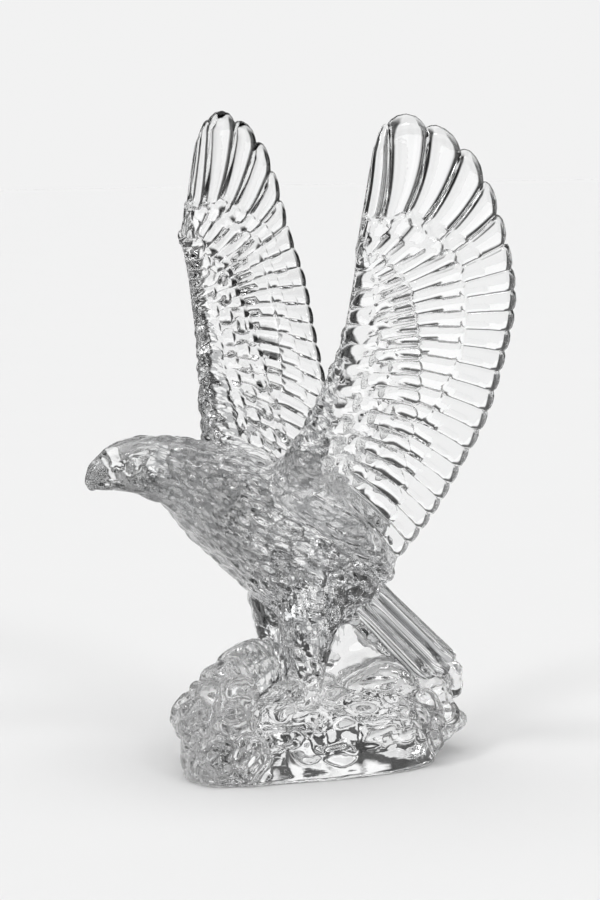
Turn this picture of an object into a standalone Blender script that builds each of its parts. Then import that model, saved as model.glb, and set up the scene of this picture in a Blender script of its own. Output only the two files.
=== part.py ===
# Crystal eagle with raised wings, cast in one piece with its rock base.
# Frame: +Z up, origin on the underside, the bird looks along -X, its left side is -Y.
import math

import bmesh
import bpy
import numpy as np

# Driving dimensions, in metres
figure_height = 0.250
base_length = 0.105
base_width = 0.082
base_wall_height = 0.013
wing_root_thickness = 0.011
wing_tip_thickness = 0.007
wing_rim_thickness = 0.0036
wing_rim_bevel = 0.004
feather_groove = 0.0009
covert_step = 0.0008
tail_radius = 0.0188
tail_groove = 0.0013
tarsus_diameter = 0.0095
toe_diameter = 0.0075
eye_diameter = 0.0046
web_width = 0.022
foot_chamfer = 0.0012
tail_notch = 0.0016

# The free form below is set out in parts: 250 parts are the figure's height
part = figure_height / 250.0

secondaries = 18
primaries = 6
tail_feathers = 8

# Wing lines as (x, z) in parts: where feathers start, where they bend, and their tips.
# Each share is a place in the fan, from the lowest feather at 0 to the outermost at 1.
arm_line = ((-27.5, 119), (-25, 139), (-22.5, 161), (-22, 181), (-22, 201))
arm_share = (0, 0.25, 0.5, 0.75, 1)
bend_line = ((-2, 100), (7, 131.5), (8.5, 165), (13.5, 188.5), (16.5, 194), (12, 200),
             (6.5, 206), (2, 212.5), (-10, 210), (-20, 221))
bend_share = (0, 0.25, 0.5, 0.708, 0.75, 0.833, 0.875, 0.917, 0.958, 1)
tip_line = ((19.5, 74), (30, 99), (38, 129.5), (39.5, 159), (39, 181.5), (33.5, 202), (28, 220),
            (20.5, 235), (11, 244), (-2, 250), (-11.5, 247.5), (-16.2, 237.7))
# How far the wing stands out sideways at each height, in parts
wing_lean = ((60, 2), (70, 6), (80, 12), (90, 18), (100, 23.5), (110, 28.5), (120, 33), (130, 39),
             (141, 45), (160, 53.5), (179, 60.5), (199, 66), (217, 67), (235, 66.5), (250, 65), (262, 63.5))
wing_flare = 0.28
flare_start = -22
# Feather widths at the outline, and how far along a feather each row of coverts ends, by share of the fan
feather_width = ((0, 16.5), (0.21, 18), (0.33, 21), (0.67, 23), (0.75, 33), (0.83, 40), (0.92, 40), (0.96, 32))
long_covert_end = ((0, 0.81), (0.125, 0.75), (0.25, 0.61), (0.5, 0.476), (0.75, 0.29), (0.875, 0.20), (1, 0.08))
outer_covert_end = ((0, 0.86), (0.167, 0.79), (0.29, 0.66), (0.42, 0.66), (0.54, 0.69), (0.75, 0.59),
                    (0.875, 0.47), (1, 0.35))
# Depth in parts of the notch between two secondaries, two primaries, and beside the outermost
secondary_notch = 1.1
primary_notch = 3.0
last_notch = 1.4
# Thick leading edge of the wing root: shares of the arm line, and in parts the radii from the shoulder up,
# how far behind the arm line it runs, and where it starts
arm_places = (0.02, 0.15, 0.30, 0.45, 0.60)
arm_radii = (11, 9.5, 8.0, 6.8, 5.8, 4.6)
arm_inset = 3.5
arm_foot = (-20, 21, 106)
# Corner of glass between the back and the low wing: (share of a feather, thickness in parts)
root_steps = ((0.06, 7.5), (0.2, 8.0), (0.4, 6.5), (0.55, 4.0))
root_fan = ((0.0, 1.0), (0.08, 1.0), (0.18, 1.0), (0.3, 0.8), (0.42, 0.4))

# Tail: start and length along its slope and height of its middle line, in parts
tail_start = -44
tail_reach = 21.0
tail_middle = 50
# Corners of the clear wall between the legs and the tail, as (x, z) in parts
web_profile = ((-14, 50), (-6, 60), (8, 60), (44, 26), (48, 14), (-16, 14))

# Foot of the base as (x, y), for a base 105 long and 82 wide
base_foot = ((-65, -14), (-60, -29), (-33, -36.5), (-4, -41), (22, -39), (38, -27), (48, -4), (45, 23),
             (18, 38), (-18, 36), (-45, 20), (-60, 0))
# Boulders: place x, y on that base, height z in parts, and their three half sizes in parts
rock_lumps = (
    (-59, -12, 13, 7.5, 9, 9), (-55, -5, 21, 9, 9, 8), (-46, 1, 27, 9, 9, 9), (-57, -24, 10, 8, 8, 9),
    (-49, -21, 20, 9, 9, 9), (-41, -8, 28, 10, 9, 9), (-47, -30, 9, 8, 7, 9), (-23, 11, 34, 15, 12, 13.5),
    (-36, 6, 30, 12, 11, 11), (-30, -19, 18, 13, 13, 10), (-9, -18, 16, 15, 15, 10), (21, -12, 28, 15, 11, 8),
    (43, -12, 21, 10, 10, 10), (49, -3, 15, 10, 10, 12), (35, -20, 9, 10, 9, 9), (24, -27, 17, 11, 8, 8),
    (47, -2, 27, 10, 10, 8), (5, -24, 23, 13, 9, 7), (-3, -35, 13.5, 14, 6, 8.5), (24, 8, 25, 18, 12, 10),
    (-40, 18, 17, 13, 11, 12), (-14, 27, 18, 16, 11, 12), (14, 29, 16, 15, 10, 12), (38, 17, 18, 13, 13, 12),
    (52, -8, 27, 9, 9, 9), (44, -16, 13, 12, 9, 10),
)

# Body profile in parts: top (x, z), bottom (x, z), half width
body_profile = (
    ((-98.6, 118.5), (-98.2, 114.6), 1.6),
    ((-97.3, 120.9), (-96.6, 112.0), 3.4),
    ((-94.1, 123.6), (-93.8, 110.8), 4.7),
    ((-89.2, 127.0), (-88.3, 110.3), 6.9),
    ((-81.5, 129.6), (-81.0, 109.0), 9.6),
    ((-73.0, 130.3), (-73.6, 106.2), 11.2),
    ((-61.0, 129.2), (-66.0, 103.0), 13.2),
    ((-48.0, 126.2), (-58.6, 94.6), 18.0),
    ((-35.0, 122.4), (-49.2, 85.4), 25.0),
    ((-18.0, 115.6), (-38.2, 76.0), 29.0),
    ((-2.0, 104.0), (-25.6, 64.4), 29.0),
    ((11.0, 91.0), (-13.0, 55.0), 25.0),
    ((20.0, 80.5), (0.0, 51.5), 19.5),
    ((25.5, 71.5), (9.0, 51.0), 14.0),
)


def curve_through(points, steps, at=None):
    """Points of a smooth curve through the given ones."""
    points = np.array(points, float)
    if at is None:
        spans = np.sqrt(np.linalg.norm(np.diff(points, axis=0), axis=1))
        at = np.concatenate(([0.0], np.cumsum(spans)))
    at = np.array(at, float)
    slope = np.zeros_like(points)
    slope[1:-1] = (points[2:] - points[:-2]) / (at[2:] - at[:-2])[:, None]
    slope[0] = (points[1] - points[0]) / (at[1] - at[0])
    slope[-1] = (points[-1] - points[-2]) / (at[-1] - at[-2])
    steps = np.array(steps, float)
    k = np.clip(np.searchsorted(at, steps, side="right") - 1, 0, len(at) - 2)
    span = (at[k + 1] - at[k])[:, None]
    s = (steps - at[k])[:, None] / span
    start = (2 * s ** 3 - 3 * s ** 2 + 1) * points[k] + (s ** 3 - 2 * s ** 2 + s) * span * slope[k]
    end = (3 * s ** 2 - 2 * s ** 3) * points[k + 1] + (s ** 3 - s ** 2) * span * slope[k + 1]
    return start + end


def value_at(table, where):
    """Smooth value of a (place, value) table."""
    table = np.array(table, float)
    inside = np.clip(where, table[0, 0], table[-1, 0])
    return curve_through(table[:, 1:2], np.atleast_1d(inside), table[:, 0])[:, 0]


def new_object(name, verts, faces):
    """Object from vertices in metres, cut to triangles that face outwards."""
    triangles = []
    for face in faces:
        for i in range(1, len(face) - 1):
            triangles.append((face[0], face[i], face[i + 1]))
    corners = np.array(verts, float)[np.array(triangles)]
    volume = np.einsum("ij,ij->", corners[:, 0], np.cross(corners[:, 1], corners[:, 2]))
    if volume < 0:
        triangles = [triangle[::-1] for triangle in triangles]
    mesh = bpy.data.meshes.new(name)
    mesh.from_pydata([tuple(float(c) for c in v) for v in verts], [], triangles)
    mesh.validate()
    obj = bpy.data.objects.new(name, mesh)
    bpy.context.scene.collection.objects.link(obj)
    return obj


def loft(name, rings):
    """Closed solid through rings of equal length, closed with a fan at both ends."""
    rings = [np.array(ring, float) for ring in rings]
    count = len(rings[0])
    verts = np.concatenate(rings + [rings[0].mean(axis=0)[None], rings[-1].mean(axis=0)[None]])
    first = len(rings) * count
    faces = []
    for r in range(len(rings) - 1):
        for i in range(count):
            j = (i + 1) % count
            faces.append((r * count + i, r * count + j, (r + 1) * count + j, (r + 1) * count + i))
    for i in range(count):
        j = (i + 1) % count
        faces.append((first, j, i))
        faces.append((first + 1, (len(rings) - 1) * count + i, (len(rings) - 1) * count + j))
    return new_object(name, verts, faces)


def tube(name, centres, radii, sides):
    """Tapered limb along a path, with flat ends."""
    centres = np.array(centres, float)
    tangents = np.gradient(centres, axis=0)
    rings = []
    for centre, tangent, radius in zip(centres, tangents, radii):
        tangent = tangent / np.linalg.norm(tangent)
        across = np.cross(tangent, (1.0, 0.0, 0.31))
        across = across / np.linalg.norm(across)
        over = np.cross(tangent, across)
        turn = np.linspace(0, 2 * math.pi, sides, endpoint=False)[:, None]
        rings.append(centre + radius * (np.cos(turn) * across + np.sin(turn) * over))
    return loft(name, rings)


def boulder(name, centre, size, seed, roughness=0.10, detail=2, tilt=0.0):
    """Broken lump of rock with flat chips, from a rounded ball."""
    shape = bmesh.new()
    bmesh.ops.create_icosphere(shape, subdivisions=detail, radius=1.0)
    for vert in shape.verts:
        x, y, z = vert.co
        wave = math.sin(3.1 * x + seed) * math.cos(2.7 * y + 1.7 * seed) + math.sin(4.3 * z + 2.3 * seed + x)
        swell = 1.0 + roughness * wave
        x, y, z = (c * swell for c in (x, y, z))
        turned = (x * math.cos(tilt) - z * math.sin(tilt), y, x * math.sin(tilt) + z * math.cos(tilt))
        vert.co = [centre[i] + size[i] * turned[i] for i in range(3)]
    mesh = bpy.data.meshes.new(name)
    shape.to_mesh(mesh)
    shape.free()
    obj = bpy.data.objects.new(name, mesh)
    bpy.context.scene.collection.objects.link(obj)
    return obj


def feather_columns():
    """Places across the wing, counted in feathers, with 2 columns a secondary and 3 a primary."""
    places = [i / 2 for i in range(2 * secondaries)]
    places += [secondaries + i / 3 for i in range(3 * primaries)]
    places += [secondaries + primaries - 0.12, secondaries + primaries]
    return np.array(places, float)


def feather_tips(places):
    """Points of the tip line at these feathers, and how deep each tip is notched, in parts."""
    fine = curve_through(tip_line, np.linspace(0, 1, 400) * tip_length_key())
    run = np.concatenate(([0.0], np.cumsum(np.linalg.norm(np.diff(fine, axis=0), axis=1))))
    count = secondaries + primaries
    widths = value_at(feather_width, np.arange(count) / count)
    edges = np.concatenate(([0.0], np.cumsum(widths)))
    edges = edges / edges[-1] * run[-1]
    along = np.interp(places, np.arange(count + 1), edges)
    tips = np.stack([np.interp(along, run, fine[:, 0]), np.interp(along, run, fine[:, 1])], axis=1)
    share = places - np.floor(places)
    hollow = np.abs(2 * share - 1) ** 3
    primary = np.where(places < count - 1.3, primary_notch, last_notch)
    depth = np.where(places < secondaries, secondary_notch, primary) * hollow
    depth[places >= count - 0.12] = 0.0
    return tips, depth


def tip_length_key():
    """Length of the tip line's own count, which curve_through steps along."""
    spans = np.sqrt(np.linalg.norm(np.diff(np.array(tip_line, float), axis=0), axis=1))
    return spans.sum()


def feather_point(start, bend, tip, share):
    """Point along each feather's bent line, from its start to its tip."""
    share = share[:, None]
    return (1 - share) ** 2 * start + 2 * share * (1 - share) * bend + share ** 2 * tip


def wing_reach(x, z):
    """How far out the wing's middle surface lies, in parts."""
    return value_at(wing_lean, z) + wing_flare * (x - flare_start)


def wing_face(places, start, bend, tip, rows, side, face):
    """One carved face of a wing: rows of points in metres, lifted off the wing's middle surface."""
    out = []
    rest = places / (secondaries + primaries)
    half_arm = (wing_root_thickness + (wing_tip_thickness - wing_root_thickness) * rest) / 2
    half_rim = wing_rim_thickness / 2
    near_edge = np.clip((secondaries + primaries - places) / 0.5, 0, 1)
    for share, tier, lift in rows:
        flat = feather_point(start, bend, tip, share)
        x, z = flat[:, 0], flat[:, 1]
        reach = wing_reach(x, z)
        slope = (value_at(wing_lean, z + 0.5) - value_at(wing_lean, z - 0.5))
        normal = np.stack([-wing_flare * np.ones_like(x), np.ones_like(x), -slope], axis=1)
        normal = normal / np.linalg.norm(normal, axis=1)[:, None]
        offset = 0.5 if tier == 1 else 0.0
        ridge = np.abs(2 * ((places + offset) % 1.0) - 1) ** 2
        half = half_arm + (half_rim - half_arm) * np.clip(share, 0, 1) ** 0.7
        half = half + tier * covert_step - feather_groove * ridge * np.clip(share * 4, 0, 1)
        half = half * lift * (0.45 + 0.55 * near_edge)
        middle = np.stack([x, reach, z], axis=1) * part
        points = middle + normal * (half * face)[:, None]
        points[:, 1] *= side
        out.append(points)
    return np.array(out)


def wing(name, side):
    """Raised wing with its fan of feathers and two rows of coverts, carved on both faces."""
    places = feather_columns()
    fan = places / (secondaries + primaries)
    start = curve_through(arm_line, fan, arm_share)
    bend = curve_through(bend_line, fan, bend_share)
    tip, notch = feather_tips(places)
    length = np.linalg.norm(tip - bend, axis=1) + np.linalg.norm(bend - start, axis=1)
    end = 1 - notch / length
    share = places % 1.0
    scallop = 0.03 * np.abs(2 * share - 1) ** 2
    scallop_between = 0.03 * (1 - np.abs(2 * share - 1)) ** 2
    long_end = value_at(long_covert_end, fan) - scallop
    outer_end = np.maximum(value_at(outer_covert_end, fan) - scallop_between, long_end + 0.05)
    step = 0.008
    bevel = wing_rim_bevel / part / length
    zero = np.zeros_like(places)
    rows = (
        (zero, 2, 0.35),
        (np.minimum(0.025, long_end * 0.3), 2, 0.85),
        (np.minimum(0.08, long_end * 0.6), 2, 1.0),
        (long_end - step, 2, 1.0),
        (long_end + step, 1, 1.0),
        (outer_end - step, 1, 1.0),
        (outer_end + step, 0, 1.0),
        (end - bevel, 0, 1.0),
        (end, 0, 0.5),
    )
    outer = wing_face(places, start, bend, tip, rows, side, 1.0)
    inner = wing_face(places, start, bend, tip, rows, side, -1.0)
    count = len(places)
    verts = np.concatenate((outer.reshape(-1, 3), inner.reshape(-1, 3)))
    back = len(rows) * count
    faces = []
    for r in range(len(rows) - 1):
        for c in range(count - 1):
            a, b = r * count + c, r * count + c + 1
            d, e = a + count, b + count
            faces.append((a, b, e, d))
            faces.append((back + a, back + d, back + e, back + b))
    last = (len(rows) - 1) * count
    for c in range(count - 1):
        faces.append((c + 1, c, back + c, back + c + 1))
        faces.append((last + c, last + c + 1, back + last + c + 1, back + last + c))
    for r in range(len(rows) - 1):
        a, b = r * count, (r + 1) * count
        faces.append((a, b, back + b, back + a))
        a, b = a + count - 1, b + count - 1
        faces.append((b, a, back + a, back + b))
    return new_object(name, verts, faces)


def body():
    """Head, neck, breast and back as one smooth loft, widest above the middle of each section."""
    sides = 20
    key = np.arange(len(body_profile))
    steps = np.linspace(0, len(body_profile) - 1, 18)
    top = curve_through([row[0] for row in body_profile], steps, key)
    bottom = curve_through([row[1] for row in body_profile], steps, key)
    width = value_at([(k, body_profile[k][2]) for k in key], steps)
    rings = []
    for upper, lower, half in zip(top, bottom, width):
        turn = np.linspace(0, 2 * math.pi, sides, endpoint=False)
        middle, reach = (upper + lower) / 2, (upper - lower) / 2
        lift = np.sign(np.cos(turn)) * np.abs(np.cos(turn)) ** 0.9
        out = np.sign(np.sin(turn)) * np.abs(np.sin(turn)) ** 0.9 * (1 + 0.08 * np.cos(turn))
        ring = np.stack([middle[0] + reach[0] * lift, half * out, middle[1] + reach[1] * lift], axis=1)
        rings.append(ring * part)
    return loft("body", rings)


def head_details():
    """Hooked beak end, brows and eyes."""
    hook = tube("hook", np.array([(-95.2, 0, 117.5), (-97.2, 0, 114.6), (-97.0, 0, 112.2), (-96.2, 0, 110.4)]) * part,
                np.array([3.4, 2.6, 1.7, 0.7]) * part, 8)
    pieces = [hook]
    for side in (-1, 1):
        brow = np.array([(-87.5, 5.6, 122.6), (-83.5, 7.6, 124.6), (-79.0, 8.6, 125.9), (-74.5, 9.0, 126.2)])
        brow[:, 1] *= side
        pieces.append(tube("brow", brow * part, np.array([0.8, 1.7, 1.8, 0.9]) * part, 7))
        eye = (-83.2 * part, side * 8.1 * part, 120.0 * part)
        pieces.append(boulder("eye", eye, (eye_diameter / 2,) * 3, 0.0, 0.0, 1))
    return pieces


def shoulder(side):
    """Feathered flank that carries the wing's root down the side of the body."""
    path = np.array([(-31, 23, 117), (-25, 23.5, 112.5), (-13, 23, 104.5), (-1, 21.5, 95.5), (10, 17, 84.5),
                     (18, 12.5, 76), (23, 10, 70)], float)
    path[:, 1] *= side
    thick = np.array([6.5, 11.5, 13, 13, 11, 8.5, 5])
    return tube("shoulder", path * part, thick * part, 12)


def wing_arm(side):
    """Thick leading edge where the wing grows out of the shoulder."""
    line = curve_through(arm_line, arm_places, arm_share)
    x, z = line[:, 0] + arm_inset, line[:, 1]
    path = np.column_stack((x, wing_reach(x, z), z))
    path = np.concatenate(((arm_foot,), path))
    path[:, 1] *= side
    return tube("wing_arm", path * part, np.array(arm_radii) * part, 8)


def wing_root(side):
    """Corner of glass that joins the back to the low part of the wing."""
    rings = []
    for share, thick in root_steps:
        outer, inner = [], []
        for fan, grow in root_fan:
            start = curve_through(arm_line, [fan], arm_share)
            bend = curve_through(bend_line, [fan], bend_share)
            tip = curve_through(tip_line, [fan * tip_length_key()])
            x, z = feather_point(start, bend, tip, np.array([share]))[0]
            reach = wing_reach(x, z)[0]
            outer.append((x, (reach + 0.45 * thick * grow) * side, z - 0.3 * thick * grow))
            inner.append((x, (reach - 0.75 * thick * grow) * side, z))
        rings.append(np.array(outer + inner[::-1]) * part)
    return loft("wing_root", rings)


def tail():
    """Half round fan of long feathers, ridged along its length and longest on top."""
    slant = math.sqrt(0.5)
    ring_count = 7
    per_feather = 2
    columns = tail_feathers * per_feather + 1
    turn = np.linspace(-1.75, 1.75, columns)
    crest = np.abs((np.arange(columns) % per_feather) / per_feather * 2 - 1)
    rings = []
    for r in range(ring_count):
        t = r / (ring_count - 1)
        reach = tail_radius * (0.86 + 0.16 * t) - tail_groove * crest * min(1.0, 3 * t)
        tip = (tail_reach - 13.5 * (np.abs(turn) / 1.75) ** 1.6) * part - tail_notch * crest
        along = tail_start * part + t * (tip - tail_start * part)
        squeeze = 0.93 if r == ring_count - 1 else 1.0
        across = reach * np.sin(turn) * squeeze
        above = tail_middle * part + reach * np.cos(turn) * squeeze
        ring = np.stack([(along + above) * slant, across, (above - along) * slant], axis=1)
        rings.append(ring)
    return loft("tail", rings)


def leg(side):
    """Thigh, tarsus and four toes of one leg; the right one strides behind and stands higher."""
    ahead, high = (7.0, 9.0) if side > 0 else (0.0, 0.0)
    path = np.array([(-5, 6, 79), (-9, 11, 68), (-12, 14.0, 57), (-13.5, 15.2, 46), (-13.2, 15.5, 36),
                     (-12.5, 15.6, 26), (-12.5, 15.8, 18)])
    path[2:, 0] += ahead * np.linspace(0.4, 1, 5)
    path[3:5, 2] += high / 2
    path[5:, 2] += high
    path[:, 1] *= side
    thick = np.array([11.0, 13.0, 10.6, 7.6, 5.6, 0, 0]) * part
    thick[-2:] = tarsus_diameter / 2, tarsus_diameter / 2 * 1.15
    pieces = [tube("leg", path * part, thick, 12)]
    toes = (
        ((-13, 16, 27), (-22, 17.5, 31.5), (-31, 19.5, 32.0), (-38, 21, 28.5)),
        ((-13, 17, 26), (-13.5, 22.5, 25.5), (-15.0, 29.5, 21), (-16.2, 35.0, 13.0)),
        ((-12, 16, 26), (-6, 20.5, 29.0), (0.5, 22.5, 28.5), (5.5, 23.5, 25.0)),
        ((-11, 14, 26), (-6, 11.5, 30.0), (-1, 10.5, 30.5), (3.5, 10.0, 28.0)),
    )
    for toe in toes:
        path = np.array(toe, float)
        path[:, 0] += ahead
        path[:, 1] *= side
        path[:, 2] += high
        path = curve_through(path, np.linspace(0, 3, 5), (0, 1, 2, 3))
        swell = np.array([0.62, 0.48, 0.44, 0.40, 0.12]) * toe_diameter
        pieces.append(tube("toe", path * part, swell, 7))
    return pieces


def base_outline(count):
    """Points round the base's foot, as shares of its length and width turned into metres."""
    outline = np.array(base_foot + base_foot[:1], float)
    key = np.arange(len(outline))
    ring = curve_through(outline, np.linspace(0, len(base_foot), count, endpoint=False), key)
    return ring * (base_length / 105.0, base_width / 82.0)


def base_block():
    """Low block with a smooth wall that the rocks lie on, flat below."""
    outline = base_outline(28)
    middle = outline.mean(axis=0)
    top = base_wall_height
    layers = ((0.0, 0.985), (foot_chamfer, 1.0), (top, 1.0), (top + 5 * part, 0.94), (top + 9 * part, 0.82),
              (top + 12 * part, 0.55))
    rings = []
    for z, grow in layers:
        flat = middle + (outline - middle) * grow
        rings.append(np.column_stack((flat, np.full(len(flat), z))))
    return loft("base_block", rings)


def rocks():
    """Boulders piled at both ends and under the feet, and plainer ones behind."""
    wide, deep = base_length / 105.0, base_width / 82.0
    pieces = []
    for i, (x, y, z, across, out, high) in enumerate(rock_lumps):
        pieces.append(boulder("boulder", (x * wide, y * deep, z * part), (across * part, out * part, high * part),
                              1.3 * i, 0.07, 2, 0.35 * math.sin(1.7 * i)))
    return pieces


def web():
    """Clear wall that fills the space between the legs, the tail's underside and the rocks."""
    profile = np.array(web_profile, float)
    middle = (profile.min(axis=0) + profile.max(axis=0)) / 2
    rings = []
    for y, shrink in ((-0.5, 0.92), (-0.42, 1.0), (0.42, 1.0), (0.5, 0.92)):
        flat = (middle + (profile - middle) * shrink) * part
        rings.append(np.column_stack((flat[:, 0], np.full(len(flat), y * web_width), flat[:, 1])))
    return loft("web", rings)


def glass():
    """Clear glass, slightly cool."""
    material = bpy.data.materials.new("clear crystal")
    material.use_nodes = True
    shader = material.node_tree.nodes["Principled BSDF"]
    shader.inputs["Base Color"].default_value = (0.97, 0.98, 0.98, 1.0)
    shader.inputs["Roughness"].default_value = 0.02
    shader.inputs["Metallic"].default_value = 0.0
    shader.inputs["IOR"].default_value = 1.54
    shader.inputs["Transmission Weight"].default_value = 1.0
    return material


def join_in_one(name, pieces):
    """Union of all the pieces as one closed solid, cut flat at the underside."""
    first = pieces[0]
    group = bpy.data.collections.new("to_join")
    for piece in pieces[1:]:
        bpy.context.scene.collection.objects.unlink(piece)
        group.objects.link(piece)
    union = first.modifiers.new("union", "BOOLEAN")
    union.operation = "UNION"
    union.solver = "EXACT"
    union.operand_type = "COLLECTION"
    union.collection = group
    below = loft("below", [[(sx * figure_height, sy * figure_height, z) for sx, sy in
                            ((-1, -1), (1, -1), (1, 1), (-1, 1))] for z in (-figure_height, 0.0)])
    cut = first.modifiers.new("flat underside", "BOOLEAN")
    cut.operation = "DIFFERENCE"
    cut.solver = "EXACT"
    cut.object = below
    view = bpy.context.evaluated_depsgraph_get()
    mesh = bpy.data.meshes.new_from_object(first.evaluated_get(view))
    for piece in pieces[1:] + [below, first]:
        bpy.data.objects.remove(piece, do_unlink=True)
    bpy.data.collections.remove(group)
    mesh.name = name
    whole = bpy.data.objects.new(name, mesh)
    bpy.context.scene.collection.objects.link(whole)
    return whole


def main():
    for old in list(bpy.data.objects):
        bpy.data.objects.remove(old, do_unlink=True)
    pieces = [base_block(), body(), wing("left_wing", -1), wing("right_wing", 1), tail(), web()]
    pieces += [shoulder(-1), shoulder(1), wing_arm(-1), wing_arm(1), wing_root(-1), wing_root(1)]
    pieces += head_details() + leg(-1) + leg(1) + rocks()
    eagle = join_in_one("crystal_eagle", pieces)
    eagle.data.materials.clear()
    eagle.data.materials.append(glass())
    eagle.data.shade_smooth()
    eagle.data.set_sharp_from_angle(angle=math.radians(32))


main()
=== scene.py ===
import math
import bmesh
import bpy
import numpy as np
from mathutils import Matrix, Vector

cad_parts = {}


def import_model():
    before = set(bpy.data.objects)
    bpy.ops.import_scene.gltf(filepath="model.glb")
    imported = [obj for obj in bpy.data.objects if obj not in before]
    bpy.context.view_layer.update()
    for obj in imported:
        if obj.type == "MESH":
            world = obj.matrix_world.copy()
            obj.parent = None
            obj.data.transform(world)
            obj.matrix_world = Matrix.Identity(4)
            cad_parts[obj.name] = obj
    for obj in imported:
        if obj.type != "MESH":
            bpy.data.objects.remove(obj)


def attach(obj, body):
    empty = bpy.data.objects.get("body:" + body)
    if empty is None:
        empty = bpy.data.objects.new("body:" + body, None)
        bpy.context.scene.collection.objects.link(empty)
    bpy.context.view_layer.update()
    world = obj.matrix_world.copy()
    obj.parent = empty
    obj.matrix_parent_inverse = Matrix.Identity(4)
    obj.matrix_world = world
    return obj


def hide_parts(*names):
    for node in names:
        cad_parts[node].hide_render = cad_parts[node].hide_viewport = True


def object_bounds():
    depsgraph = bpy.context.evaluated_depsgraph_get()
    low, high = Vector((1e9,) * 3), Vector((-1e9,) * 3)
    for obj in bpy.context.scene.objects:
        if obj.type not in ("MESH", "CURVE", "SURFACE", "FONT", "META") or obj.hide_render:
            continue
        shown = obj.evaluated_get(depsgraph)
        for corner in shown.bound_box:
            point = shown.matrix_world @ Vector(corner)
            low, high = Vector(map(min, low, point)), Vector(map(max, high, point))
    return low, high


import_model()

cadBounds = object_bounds()
figureHeight = cadBounds[1].z - cadBounds[0].z
mm = figureHeight / 250  # the eagle is set out in 250ths of its height, a millimetre each at this size
print("frame loaded, eagle", round(figureHeight, 4), "m tall")

studioSizes = {
    "target": (0, 0, 0.125),
    "distance": 1.2,
    "azimuth": -30.0,
    "elevation": 6.5,
    "frameHeight": 0.347,  # metres of the object's plane that the picture's height takes in
    "shiftX": -18 / 900,
    "shiftY": -12 / 900,
    "bounces": 24,  # light passes many faces inside the glass
    "sky": 0.887,
    # brightness and angle of each lamp, and where it stands: right, up and towards the camera
    "lamps": {
        "key": (0.10, 44, (-0.55, 1, 0.25)),
        "leftGlint": (0.75, 14, (-0.75, 0.75, 0.6)),
        "rightGlint": (0.3, 14, (0.5, 0.7, 0.8)),
    },
    "paper": 0.742,
    "floorReach": 6.0,
    "floorDrop": 0.0002,  # keeps the paper off the glass
    "sweep": (0.28, 0.6),  # metres from the middle beyond which, for the glass only, the paper's colour takes on painted light and shade of the panels
    # panels round the table: middle and half width in degrees
    "panels": ((-168, 11), (-135, 9), (-90, 12), (-45, 12), (-2, 11), (60, 18), (150, 13)),
    "panelEdge": 3.0,
    # tones by the height of the direction: of the panels, and of the light overhead
    "lowTones": ((0.0, 0.96), (0.15, 1.0), (0.24, 0.03), (0.80, 0.0), (1.0, 0.0)),
    "highTones": ((0.0, 0.04), (0.40, 0.04), (0.44, 0.85), (0.67, 0.85), (0.71, 0.04), (0.78, 0.04),
                  (0.84, 0.8), (0.88, 2.3), (1.0, 2.35)),
}


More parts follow.
